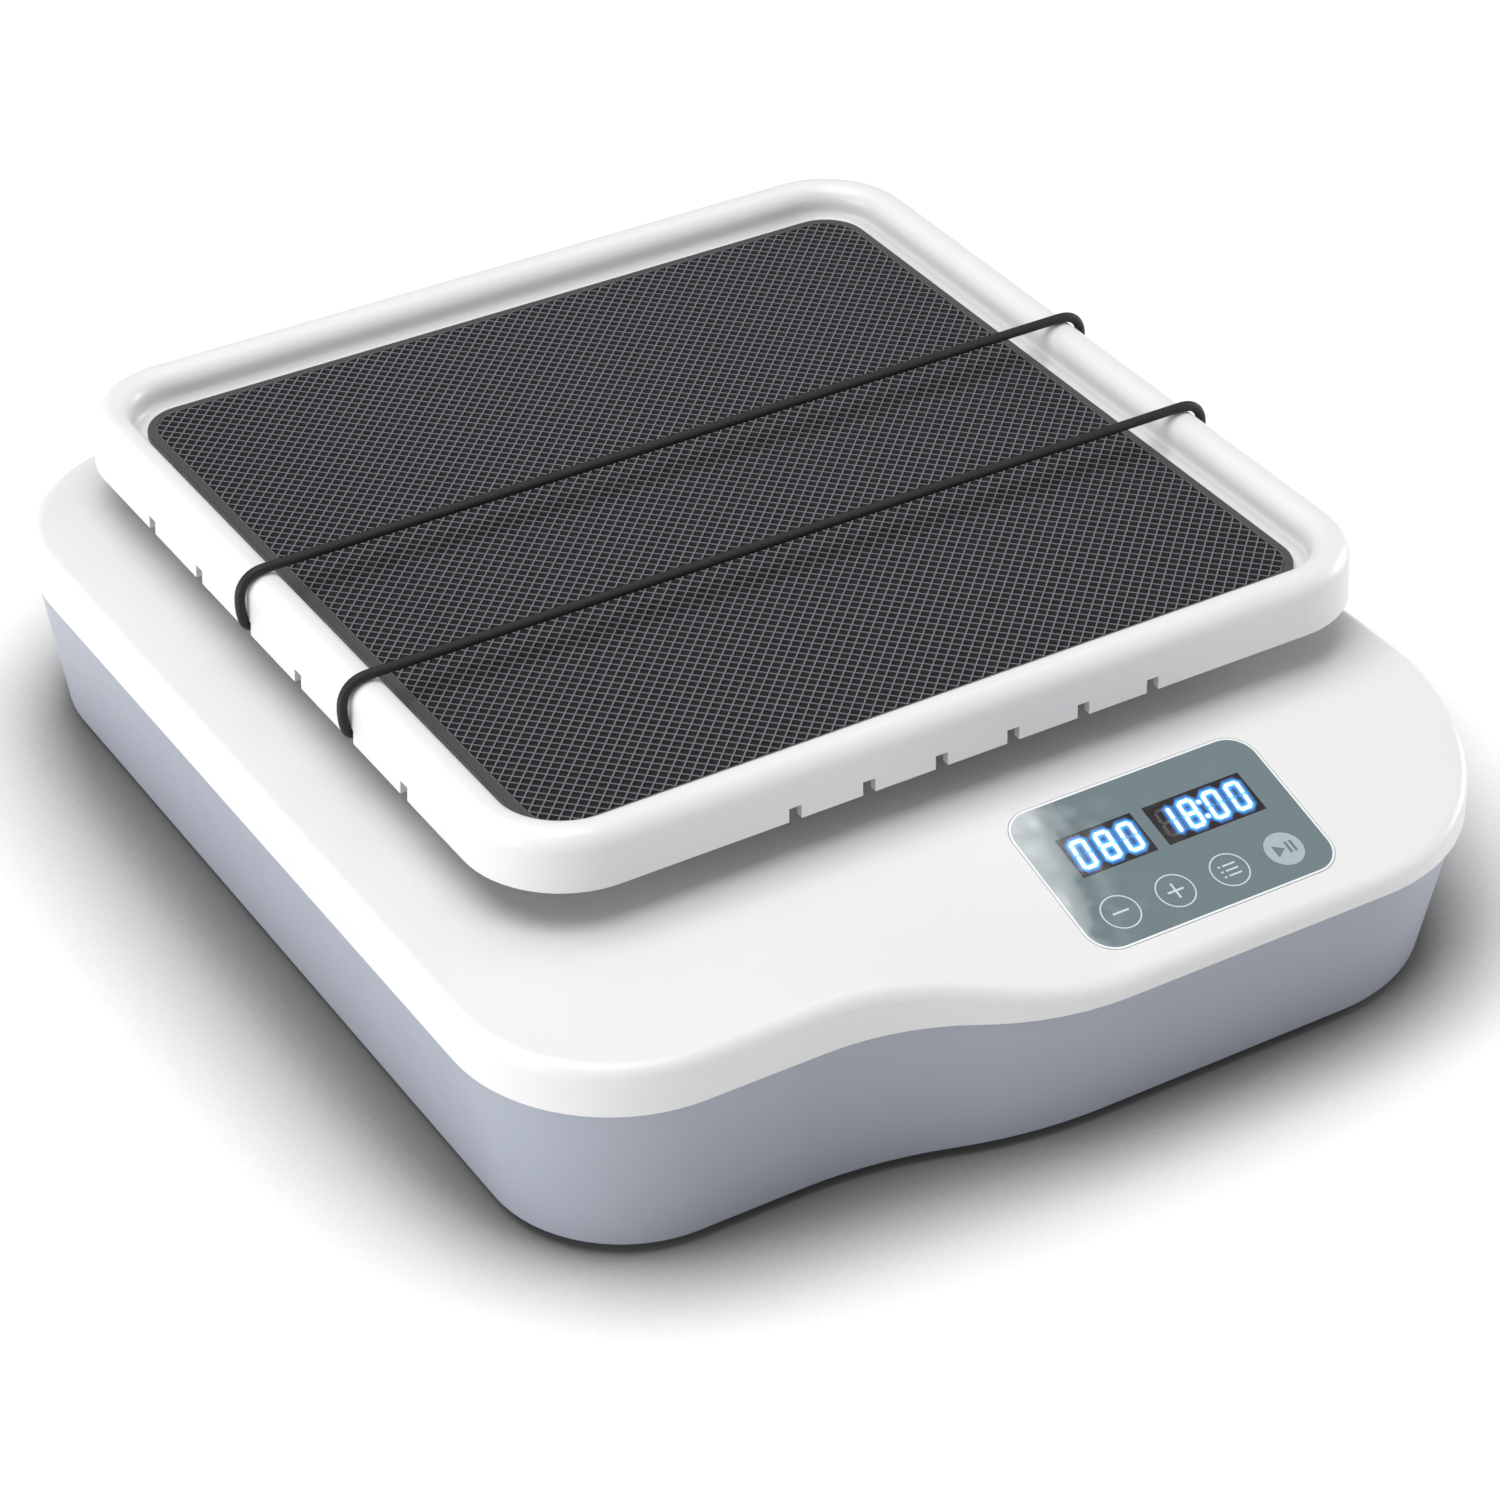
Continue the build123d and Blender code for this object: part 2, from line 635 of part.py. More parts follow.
# Tray: a deep skirt, a crown and a cove that runs out into a flat floor, notched for cords
tray_floor_bottom = mat_top - mat_thickness - tray_floor
tray_floor_top = mat_top - mat_thickness
half = tray_size / 2
crown_centre = crown_top - crown_radius
crown_middle = half - skirt_draft - crown_radius
inner_edge = crown_middle - crown_radius
cove_edge = inner_edge - cove_radius
with BuildPart() as tray_pan:
    with BuildSketch(Plane(origin=(tray_x, tray_y, 0), x_dir=(1, 0, 0), z_dir=(0, -1, 0))):
        with BuildLine():
            Line((half, skirt_bottom), (half - skirt_draft, crown_centre))
            CenterArc((crown_middle, crown_centre), crown_radius, 0, 180)
            Line((inner_edge, crown_centre), (inner_edge, tray_floor_top + cove_radius))
            CenterArc((cove_edge, tray_floor_top + cove_radius), cove_radius, 0, -90)
            Polyline(
                (cove_edge, tray_floor_top), (cove_edge, tray_floor_bottom),
                (inner_edge + rim_wall, tray_floor_bottom), (inner_edge + rim_wall, crown_centre),
            )
            CenterArc((crown_middle, crown_centre), crown_radius - rim_wall, 180, -180)
            Polyline(
                (half - skirt_draft - rim_wall, crown_centre), (half - rim_wall, skirt_bottom),
                (half, skirt_bottom),
            )
        make_face()
    with BuildLine(Plane((tray_x, tray_y, skirt_bottom))):
        FilletPolyline((half, 0), (half, half), (-half, half), (-half, 0), radius=tray_corner)
    sweep()
    mirror(about=Plane(origin=(0, tray_y, 0), z_dir=(0, 1, 0)))
    with BuildSketch(Plane((tray_x, tray_y, tray_floor_bottom))):
        RectangleRounded(2 * cove_edge + 1.0, 2 * cove_edge + 1.0, tray_corner - half + cove_edge + 0.5)
    extrude(amount=tray_floor)
    with Locations((tray_x, tray_y, tray_floor_bottom)):
        with GridLocations(2 * idler_x, 2 * idler_x, 2, 2):
            Cylinder(10.0, 5.6, align=DOWN)
            Cylinder(7.0, 5.6, align=DOWN, mode=Mode.SUBTRACT)
    # Ribs under the floor: a ring round the hub, spokes to the rim and to the bosses, and a frame
    rib_reach = inner_edge + rim_wall
    with BuildSketch(Plane((tray_x, tray_y, tray_floor_bottom))):
        Circle(hub_radius + 1.0 + rib_width)
        for turn in (0, 90):
            Rectangle(2 * rib_reach, rib_width, rotation=turn)
            with Locations(*[Rot(Z=turn) * Pos(X=x) for x in (-idler_x, idler_x)]):
                Rectangle(rib_width, 2 * rib_reach)
        for turn in (45, 135):
            Rectangle(2 * sqrt(2) * idler_x, rib_width, rotation=turn)
        Circle(hub_radius + 1.0, mode=Mode.SUBTRACT)
        with GridLocations(2 * idler_x, 2 * idler_x, 2, 2):
            Circle(8.0, mode=Mode.SUBTRACT)
    extrude(amount=-rib_height)
    # Six notches in the skirt on each side
    for turn in (0, 90, 180, 270):
        pitch = notch_pitch_ends if turn in (90, 270) else notch_pitch_sides
        side = Plane(
            origin=(tray_x, tray_y, skirt_bottom),
            x_dir=(-sin(radians(turn)), cos(radians(turn)), 0),
            z_dir=(cos(radians(turn)), sin(radians(turn)), 0),
        )
        with BuildSketch(side.offset(half - 5.0)):
            with Locations(*[(pitch * (i - 2.5), 0) for i in range(6)]):
                Rectangle(notch_width, 2 * notch_height)
        extrude(amount=10.0, mode=Mode.SUBTRACT)
write(tray_pan, "tray_pan")

hub_screw_places = [(tray_x + x, tray_y + y) for x in (-16.0, 16.0) for y in (-16.0, 16.0)]
with BuildPart() as tray_hub:
    add(turned(
        tray_x, tray_y,
        (9.5, 83.0), (15.0, 83.0), (15.0, 85.0), (hub_radius, 85.0), (hub_radius, tray_floor_bottom),
        (9.5, tray_floor_bottom),
    ).part)
    with Locations((0, 0, 85.0)):
        with Locations(*hub_screw_places):
            Cylinder(2.0, 12.0, mode=Mode.SUBTRACT)
write(tray_hub, "tray_hub")
write(outer_ring(tray_x, tray_y, 83.0, 5.0, 9.5, 8.2, 6.9), "tray_bearing_outer")
write(inner_ring(tray_x, tray_y, pin_collar, 4.6, pin_radius, 6.6), "tray_bearing_inner")
write(screws(hub_screw_places, 85.0, 3.4, 2.0, 2.0, 2.9, head_up=False), "tray_hub_screws")

# Rubber mat on the tray's floor, up to the level that its border and its ridges share
with BuildPart() as mat:
    with BuildSketch(Plane((tray_x, tray_y, tray_floor_top))):
        RectangleRounded(mat_size, mat_size, tray_corner - half + mat_size / 2)
    extrude(amount=mat_thickness)
    chamfer(mat.faces().sort_by(Axis.Z)[-1].edges(), 0.4)
write(mat, "anti_slip_mat")

# Elastic cord: one closed loop over the rim and through two notches on each side
cord_out = half + cord_radius + 0.25
cord_in = half - rim_wall - cord_radius - 0.3
cord_high = crown_top + cord_radius + 0.2
cord_low = skirt_bottom + cord_radius + 0.6
cord_rear = notch_pitch_sides * 0.5
cord_front = -notch_pitch_sides * 1.5
over_crown = crown_radius + cord_radius + 0.3
cord_bend = 2.4
with BuildPart() as elastic_cord:
    with BuildLine(Plane((tray_x, tray_y, 0))) as cord_path:
        FilletPolyline(
            (0, cord_rear, cord_high),
            (cord_out, cord_rear, cord_high),
            (cord_out, cord_rear, cord_low),
            (cord_in, cord_rear, cord_low),
            (cord_in, cord_front, cord_low),
            (cord_out, cord_front, cord_low),
            (cord_out, cord_front, cord_high),
            (0, cord_front, cord_high),
            radius=[over_crown, cord_bend, cord_bend, cord_bend, cord_bend, over_crown],
        )
    with BuildSketch(Plane(origin=(tray_x, tray_y + cord_rear, cord_high), z_dir=(1, 0, 0))):
        Circle(cord_radius)
    sweep()
    mirror(about=Plane(origin=(tray_x, 0, 0), z_dir=(1, 0, 0)))
write(elastic_cord, "elastic_cord")
print("elastic cord length", round(2 * cord_path.wires()[0].length, 1))

# Rubber feet, their screws, and the screws that hold the cover from below
with BuildPart() as rubber_feet:
    for x, y in feet:
        add(turned(
            x, y,
            (1.6, foot_height), (12.0, foot_height), (12.0, foot_height - 1.0), (10.8, 0.6), (10.2, 0.0),
            (5.5, 0.0), (5.5, 2.2), (1.6, 2.2),
        ).part)
write(rubber_feet, "rubber_feet")
write(screws(feet, 2.2, 3.8, 1.5, 1.6, 9.0, head_up=False), "foot_screws")
write(screws(cover_posts, cover_screw_seat, 3.4, 2.6, 1.6, 12.5, head_up=False), "cover_screws")

# Power switch: a frame in the recess, and a rocker on two trunnions
rocker_pivot = recess_floor - 2.0
with BuildPart() as switch_frame:
    with Locations((rocker_x, recess_floor, socket_z)):
        Box(25.0, 1.6, 20.0, align=(Align.CENTER, Align.MIN, Align.CENTER))
        Box(rocker_body_width, 14.0, rocker_body_height, align=(Align.CENTER, Align.MAX, Align.CENTER))
    with Locations((rocker_x, recess_floor + 1.6, socket_z)):
        Box(18.6, 14.0, 13.0, align=(Align.CENTER, Align.MAX, Align.CENTER), mode=Mode.SUBTRACT)
    with Locations((rocker_x, rocker_pivot, socket_z)):
        Cylinder(1.0 + run_gap, 15.0, mode=Mode.SUBTRACT)
write(switch_frame, "switch_frame")
with BuildPart() as rocker:
    with BuildSketch(Plane((rocker_x, rocker_pivot, socket_z - 6.2))):
        with BuildLine():
            Polyline((-8.0, -4.0), (8.0, -4.0), (9.5, 5.6), (0, 3.9), (-9.5, 5.6), close=True)
        make_face()
        Circle(9.0, mode=Mode.INTERSECT)
    extrude(amount=12.4)
    with Locations((rocker_x, rocker_pivot, socket_z)):
        Cylinder(1.0, 14.6)
rocker_rest = rocker.part.rotate(Axis((rocker_x, rocker_pivot, 0), (0, 0, 1)), rocker_tilt)
rocker_rest.label = "power_rocker"
export_step(rocker_rest, "parts/power_rocker.step")

# Low-voltage inlet: a flanged barrel with its centre pin, and the nut behind the wall
inlet_axis = Plane(origin=(inlet_x, recess_floor, socket_z), x_dir=(1, 0, 0), z_dir=(0, 1, 0))
with BuildPart() as dc_inlet:
    with BuildSketch(inlet_axis):
        Circle(7.0)
    extrude(amount=1.6)
    with BuildSketch(inlet_axis):
        Circle(inlet_radius)
    extrude(amount=-13.0)
    with BuildSketch(inlet_axis.offset(1.6)):
        Circle(2.9)
    extrude(amount=-10.0, mode=Mode.SUBTRACT)
    with BuildSketch(inlet_axis.offset(-8.4)):
        Circle(1.0)
    extrude(amount=8.4)
write(dc_inlet, "dc_inlet")
with BuildPart() as dc_inlet_nut:
    with BuildSketch(inlet_axis.offset(-3.0)):
        RegularPolygon(8.5, 6)
        Circle(inlet_radius, mode=Mode.SUBTRACT)
    extrude(amount=-2.5)
write(dc_inlet_nut, "dc_inlet_nut")
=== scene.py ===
# Orbital gel shaker, dressed: the studio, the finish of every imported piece, and the pieces that
# carry its fine detail, which are the waffle mat, the elastic cord, the panel and the switch marks.
import json
from math import cos, pi, radians, sin

import bmesh
import bpy
from mathutils import Matrix, Quaternion, Vector


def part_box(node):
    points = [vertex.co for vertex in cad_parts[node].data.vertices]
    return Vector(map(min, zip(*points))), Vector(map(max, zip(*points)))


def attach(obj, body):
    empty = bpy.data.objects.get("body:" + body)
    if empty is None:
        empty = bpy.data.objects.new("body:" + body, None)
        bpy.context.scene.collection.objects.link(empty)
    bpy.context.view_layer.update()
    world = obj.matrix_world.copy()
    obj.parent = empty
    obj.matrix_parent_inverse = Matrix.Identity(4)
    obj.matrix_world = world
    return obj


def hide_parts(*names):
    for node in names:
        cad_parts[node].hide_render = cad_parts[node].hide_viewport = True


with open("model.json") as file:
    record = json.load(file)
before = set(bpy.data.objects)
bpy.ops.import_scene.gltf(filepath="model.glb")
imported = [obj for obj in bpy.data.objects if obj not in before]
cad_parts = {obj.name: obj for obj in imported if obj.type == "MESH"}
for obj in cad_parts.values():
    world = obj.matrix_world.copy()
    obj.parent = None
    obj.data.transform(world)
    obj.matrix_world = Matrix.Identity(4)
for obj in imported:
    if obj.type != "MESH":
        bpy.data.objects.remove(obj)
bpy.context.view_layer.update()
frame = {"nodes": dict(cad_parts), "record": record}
mm = 0.001

# Camera: a long lens off the shaker's front left corner, looking down at the tray, where the
# photograph was taken from
camera = bpy.data.cameras.new("camera")
camera.lens = 106.07
camera.sensor_width = 36.0
camera.clip_start = 0.05
camera_place = Vector((-0.5848, -0.9658, 0.8112))
camera_azimuth = radians(-31.53)
camera_dip = radians(35.015)
camera_object = bpy.data.objects.new("camera", camera)
bpy.context.scene.collection.objects.link(camera_object)
camera_turn = Matrix.Rotation(camera_azimuth, 4, "Z") @ Matrix.Rotation(radians(90) - camera_dip, 4, "X")
camera_object.matrix_world = Matrix.Translation(camera_place) @ camera_turn
bpy.context.scene.camera = camera_object


# Studio: a white room with a large soft light high on the left, weaker ones low on the left, on
# the right and in front, and a small card high on the right that shines in the panel's lens
def area_light(name, place, target, size, power):
    light = bpy.data.lights.new(name, "AREA")
    light.shape = "RECTANGLE"
    light.size, light.size_y = size
    light.energy = power
    made = bpy.data.objects.new(name, light)
    bpy.context.scene.collection.objects.link(made)
    made.location = place
    made.rotation_mode = "QUATERNION"
    made.rotation_quaternion = (Vector(target) - Vector(place)).to_track_quat("-Z", "Y")
    return made


world = bpy.data.worlds.new("world")
bpy.context.scene.world = world
world.use_nodes = True
room = world.node_tree.nodes["Background"]
room.inputs["Color"].default_value = (1.0, 1.0, 1.0, 1.0)
room.inputs["Strength"].default_value = 0.46
area_light("above", place=(-0.4, 0.0, 1.7), target=(0.0, 0.0, 0.0), size=(1.4, 1.4), power=27.0)
area_light("left", place=(-1.65, 0.2, 0.24), target=(0.0, 0.0, 0.05), size=(1.2, 0.45), power=15.0)
area_light("right", place=(1.9, -0.2, 0.4), target=(0.1, 0.0, 0.05), size=(0.8, 0.6), power=14.0)
area_light("front", place=(0.2, -1.7, 0.4), target=(0.0, 0.0, 0.05), size=(1.2, 0.5), power=1.8)
card = area_light("card", place=(0.616, 0.2, 1.2), target=(0.616, 0.2, 0.0), size=(0.1, 0.26), power=0.8)
card_turn = radians(-8.4)
card.rotation_quaternion = Quaternion((0, 0, 1), card_turn)
bpy.context.scene.view_settings.view_transform = "Standard"


# Floor: a wide sheet of white studio paper with a faint grain, under the shaker's four feet; it
# is painted grey close to the housing, a painted shadow that deepens where the housing hides more of the
# room
class Finish:
    def __init__(self, name, colour, roughness=0.4, metallic=0.0, specular=0.5):
        self.material = bpy.data.materials.new(name)
        self.material.use_nodes = True
        self.nodes = self.material.node_tree.nodes
        self.links = self.material.node_tree.links
        self.surface = self.nodes["Principled BSDF"]
        self.surface.inputs["Base Color"].default_value = (*colour, 1.0)
        self.surface.inputs["Roughness"].default_value = roughness
        self.surface.inputs["Metallic"].default_value = metallic
        self.surface.inputs["Specular IOR Level"].default_value = specular
        self.place = self.nodes.new("ShaderNodeTexCoord").outputs["Object"]
        self.colour = colour

    def join(self, source, target):
        self.links.new(source, target)

    def noise(self, scale, detail, stretch=None):
        made = self.nodes.new("ShaderNodeTexNoise")
        made.inputs["Scale"].default_value = scale
        made.inputs["Detail"].default_value = detail
        place = self.place
        if stretch:
            mapping = self.nodes.new("ShaderNodeMapping")
            mapping.inputs["Scale"].default_value = stretch
            self.join(place, mapping.inputs["Vector"])
            place = mapping.outputs["Vector"]
        self.join(place, made.inputs["Vector"])
        return made.outputs["Fac"]

    def math(self, operation, first, second):
        made = self.nodes.new("ShaderNodeMath")
        made.operation = operation
        for slot, value in enumerate((first, second)):
            if isinstance(value, (int, float)):
                made.inputs[slot].default_value = value
            else:
                self.join(value, made.inputs[slot])
        return made.outputs["Value"]

    def spread(self, value, low, high, start=0.3, end=0.7):
        made = self.nodes.new("ShaderNodeMapRange")
        made.inputs["From Min"].default_value = start
        made.inputs["From Max"].default_value = end
        made.inputs["To Min"].default_value = low
        made.inputs["To Max"].default_value = high
        self.join(value, made.inputs["Value"])
        return made.outputs["Result"]

    def blend_colours(self, share, first, second):
        made = self.nodes.new("ShaderNodeMix")
        made.data_type = "RGBA"
        made.inputs["A"].default_value = (*first, 1.0)
        made.inputs["B"].default_value = (*second, 1.0)
        self.join(share, made.inputs["Factor"])
        self.join(made.outputs["Result"], self.surface.inputs["Base Color"])

    def rough(self, value, low, high):
        self.join(self.spread(value, low, high), self.surface.inputs["Roughness"])

    def mottle(self, value, darker):
        self.blend_colours(self.spread(value, 0.0, 1.0), self.colour, [c * darker for c in self.colour])

    def bump(self, value, depth):
        made = self.nodes.new("ShaderNodeBump")
        made.inputs["Strength"].default_value = 1.0
        made.inputs["Distance"].default_value = depth
        self.join(value, made.inputs["Height"])
        self.join(made.outputs["Normal"], self.surface.inputs["Normal"])


def moulded(name, colour, roughness, grain, depth, specular=0.5):
    """A moulded surface: an even grain, slightly uneven in gloss and in colour."""
    finish = Finish(name, colour, roughness, specular=specular)
    finish.rough(finish.noise(grain * 0.15, 4.0), roughness - 0.05, roughness + 0.06)
    finish.mottle(finish.noise(14.0, 5.0), 0.975)
    finish.bump(finish.noise(grain, 3.0), depth)
    return finish


floor_half_width = 6.0
paper_white = (0.93, 0.93, 0.93)
shadow_grey = (0.18, 0.18, 0.18)
shadow_reach = 0.13
paper = Finish("floor", paper_white)
paper.rough(paper.noise(6.0, 4.0), 0.55, 0.66)
paper.bump(paper.noise(40.0, 3.0), 0.1 * mm)
# painted shadow: the paper's colour goes from white to shadow grey where ambient occlusion finds the
# housing close
openness = paper.nodes.new("ShaderNodeAmbientOcclusion")
openness.inputs["Distance"].default_value = shadow_reach
open_share = paper.spread(openness.outputs["AO"], 0.0, 1.0, start=0.5, end=0.9)
paper.blend_colours(open_share, shadow_grey, paper_white)
floor_mesh = bmesh.new()
bmesh.ops.create_grid(floor_mesh, x_segments=2, y_segments=2, size=floor_half_width)
floor_data = bpy.data.meshes.new("floor")
floor_mesh.to_mesh(floor_data)
floor_mesh.free()
floor_data.materials.append(paper.material)
floor = bpy.data.objects.new("floor", floor_data)
bpy.context.scene.collection.objects.link(floor)


# Feet, belt and shaft seal: matt black rubber; the feet are screwed under the housing, the belt
# runs round both pulleys and the seal is pressed into the cover
def dress(slot, finish):
    for part in frame["record"]["subparts"]:
        if part["material_slot"] == slot:
            node = frame["nodes"][part["node"]]
            node.data.materials.clear()
            node.data.materials.append(finish.material)


dress("black_rubber", moulded(
    "black_rubber", (0.016, 0.016, 0.017), roughness=0.68, grain=700.0, depth=0.04 * mm,
))

# Housing: one injection-moulded shell in a cool light grey, with a fine spark-eroded grain; the
# white cover sits on it and is screwed to its posts from below
dress("grey_plastic", moulded(
    "grey_plastic", (0.315, 0.34, 0.398), roughness=0.42, grain=1100.0, depth=0.02 * mm,
))

# Cover and tray: injection-moulded in the same white plastic, smooth and half gloss, the cover
# with the nose for the panel and the tray with its crowned rim
dress("white_plastic", moulded(
    "white_plastic", (0.67, 0.67, 0.67), roughness=0.34, grain=500.0, depth=0.003 * mm,
))

# Power switch, inlet, idler housings, driven pulley and the driver board's parts: moulded in black
# plastic; the switch snaps into the back of the housing and the inlet is held there by a nut
dress("black_plastic", moulded(
    "black_plastic", (0.018, 0.018, 0.02), roughness=0.4, grain=900.0, depth=0.03 * mm,
))

# Circuit boards: glass-fibre boards under green lacquer, one on the housing's floor and one behind
# the panel, which has gilt pads that feel the finger
dress("circuit_board", moulded(
    "circuit_board", (0.012, 0.09, 0.035), roughness=0.3, grain=500.0, depth=0.02 * mm,
))


def machined(name, colour, roughness):
    """Turned or rolled metal with fine level lines, uneven in gloss."""
    finish = Finish(name, colour, roughness, metallic=1.0)
    lines = finish.noise(900.0, 3.0, stretch=(1.0, 1.0, 40.0))
    finish.rough(lines, roughness - 0.08, roughness + 0.12)
    finish.mottle(finish.noise(60.0, 3.0), 0.86)
    finish.bump(lines, 0.02 * mm)
    return finish


dress("pad_metal", machined("pad_metal", (0.66, 0.52, 0.28), roughness=0.35))

# Drive: a painted motor, a steel deck, shafts, cranks, bearing rings and screws, aluminium
# bearing housing, hub and motor pulley, and bronze sleeves and bushes for the idler cranks
dress("motor_paint", moulded(
    "motor_paint", (0.02, 0.02, 0.022), roughness=0.35, grain=600.0, depth=0.03 * mm,
))
dress("steel", machined("steel", (0.55, 0.56, 0.57), roughness=0.3))
dress("aluminium", machined("aluminium", (0.72, 0.73, 0.74), roughness=0.34))
dress("bronze", machined("bronze", (0.48, 0.33, 0.16), roughness=0.4))


# Anti-slip mat: a moulded rubber sheet let into the tray, with a smooth border round a field of
# diagonal ridges; the ridge tops are painted paler as a painted highlight and the pits darker as painted
# shade
def piece(name, mesh, body, finish):
    data = bpy.data.meshes.new(name)
    mesh.to_mesh(data)
    mesh.free()
    data.materials.append(finish.material)
    made = bpy.data.objects.new(name, data)
    bpy.context.scene.collection.objects.link(made)
    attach(made, body)
    return made


def rounded_sheet(mesh, width, depth, corner, steps, middle=(0.0, 0.0, 0.0)):
    """A flat face with round corners, in the mesh's own units."""
    place = Matrix.Translation(middle) @ Matrix.Diagonal((width, depth, 1.0, 1.0))
    made = bmesh.ops.create_grid(mesh, x_segments=1, y_segments=1, size=0.5, matrix=place)
    bmesh.ops.bevel(
        mesh, geom=made["verts"], offset=corner, affect="VERTICES", segments=steps, profile=0.5,
        material=-1,
    )


def thicken(mesh, thickness):
    """Raises the mesh's one flat face into a slab and gives back the slab's upper face."""
    raised = bmesh.ops.extrude_face_region(mesh, geom=mesh.faces[:])["geom"]
    corners = [item for item in raised if isinstance(item, bmesh.types.BMVert)]
    bmesh.ops.translate(mesh, verts=corners, vec=(0.0, 0.0, thickness))
    bmesh.ops.recalc_face_normals(mesh, faces=mesh.faces[:])
    return [item for item in raised if isinstance(item, bmesh.types.BMFace)]


def step_in(mesh, faces, inwards, upwards=0.0):
    """Draws the faces in by a width and up by a height, with a new band round them."""
    bmesh.ops.inset_region(
        mesh, faces=faces, thickness=inwards, depth=upwards, use_boundary=True, use_even_offset=True,
    )


dress("mat_rubber", moulded(
    "mat_rubber", (0.022, 0.024, 0.027), roughness=0.5, grain=900.0, depth=0.03 * mm,
))
waffle_rubber = Finish("mat_rubber_waffle", (0.019, 0.02, 0.023), roughness=0.5)
painted_light = waffle_rubber.nodes.new("ShaderNodeAttribute")
painted_light.attribute_name = "crest"
# painted light: the pits are painted near black as shade and the ridge tops pale as a highlight, with
# tones between them for the pit sides and the border
pit_painted_shade = (0.006, 0.0062, 0.0072)
crest_painted_highlight = (0.125, 0.129, 0.139)
waffle_rubber.blend_colours(painted_light.outputs["Fac"], pit_painted_shade, crest_painted_highlight)
waffle_rubber.rough(waffle_rubber.noise(130.0, 4.0), 0.36, 0.48)
waffle_rubber.bump(waffle_rubber.noise(900.0, 3.0), 0.03 * mm)

mat_low, mat_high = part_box("anti_slip_mat")
mat_middle = (mat_low + mat_high) / 2
mat_size = mat_high - mat_low
mat_border = 2.8 * mm
mat_corner = 14.6 * mm
mat_edge = 0.5 * mm
mat_edge_steps = ((0.15 * mm, 0.35 * mm), (0.35 * mm, 0.15 * mm))
ridge_pitch = 3.05 * mm
ridge_half = 0.22 * mm
cell_depth = 0.9 * mm
cell_slope = 0.25 * mm
smallest_cell = 0.3
# shares of the painted crest highlight: full on the ridge tops, a quarter on the pit sides, a little more
# on the border
crest_highlight_share, side_highlight_share, border_highlight_share = 1.0, 0.25, 0.3

field = bmesh.new()
cells = int(mat_size.x * 2**0.5 / ridge_pitch) + 2
bmesh.ops.create_grid(
    field, x_segments=cells, y_segments=cells, size=cells * ridge_pitch / 2,
    matrix=Matrix.Rotation(radians(45), 4, "Z"),
)
cutter = bmesh.new()
rounded_sheet(
    cutter, mat_size.x - 2 * mat_border, mat_size.y - 2 * mat_border, mat_corner - mat_border, steps=6,
)
for edge in cutter.edges:
    start, end = (corner.co for corner in edge.verts)
    outwards = (end - start).cross(Vector((0.0, 0.0, 1.0)))
    if outwards.dot(start) < 0:
        outwards.negate()
    bmesh.ops.bisect_plane(
        field, geom=field.verts[:] + field.edges[:] + field.faces[:],
        plane_co=start, plane_no=outwards, clear_outer=True,
    )
cutter.free()
crest = field.faces.layers.float.new("crest")
pits = [face for face in field.faces if face.calc_area() > smallest_cell * ridge_pitch**2]
ridge_tops = bmesh.ops.inset_individual(
    field, faces=pits, thickness=ridge_half, depth=0.0, use_even_offset=True,
)
for face in ridge_tops["faces"]:
    face[crest] = crest_highlight_share
pit_sides = bmesh.ops.inset_individual(
    field, faces=pits, thickness=cell_slope, depth=-cell_depth, use_even_offset=True,
)
for face in pit_sides["faces"]:
    face[crest] = side_highlight_share
field.transform(Matrix.Translation((mat_middle.x, mat_middle.y, mat_high.z)))
piece("mat_waffle_field", field, "tray", waffle_rubber)

sheet = bmesh.new()
rounded_sheet(sheet, mat_size.x, mat_size.y, mat_corner, steps=12)
upper = thicken(sheet, mat_size.z - mat_edge)
for inwards, upwards in mat_edge_steps:
    step_in(sheet, upper, inwards, upwards)
step_in(sheet, upper, inwards=mat_border - mat_edge)
bmesh.ops.delete(sheet, geom=upper, context="FACES_ONLY")
crest = sheet.faces.layers.float.new("crest")
for face in sheet.faces:
    face[crest] = border_highlight_share
sheet.transform(Matrix.Translation((mat_middle.x, mat_middle.y, mat_low.z)))
mat_sheet = piece("mat_sheet", sheet, "tray", waffle_rubber)
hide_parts("anti_slip_mat")

# Elastic cord: rubber strands in a woven black cover, one closed loop stretched over the tray's
# rim and through four of its notches, a tube drawn along a smooth closed curve
dress("elastic", moulded(
    "elastic", (0.007, 0.007, 0.0075), roughness=0.55, grain=2500.0, depth=0.08 * mm, specular=0.35,
))
braid = Finish("elastic_braid", (0.007, 0.007, 0.0075), roughness=0.55, specular=0.35)
braid_length = 1.1 * mm
braid_strands = 8
cover_place = braid.nodes.new("ShaderNodeUVMap")
cover_place.uv_map = "UVMap"
along_and_round = braid.nodes.new("ShaderNodeSeparateXYZ")
braid.join(cover_place.outputs["UV"], along_and_round.inputs["Vector"])
along_turn = braid.math("MULTIPLY", along_and_round.outputs["X"], 2 * pi / braid_length)
round_turn = braid.math("MULTIPLY", along_and_round.outputs["Y"], 2 * pi * braid_strands)
one_way = braid.math("SINE", braid.math("ADD", along_turn, round_turn), 0.0)
other_way = braid.math("SINE", braid.math("SUBTRACT", along_turn, round_turn), 0.0)
braid.rough(braid.noise(300.0, 3.0), 0.5, 0.62)
braid.bump(braid.math("MULTIPLY", one_way, other_way), 0.04 * mm)

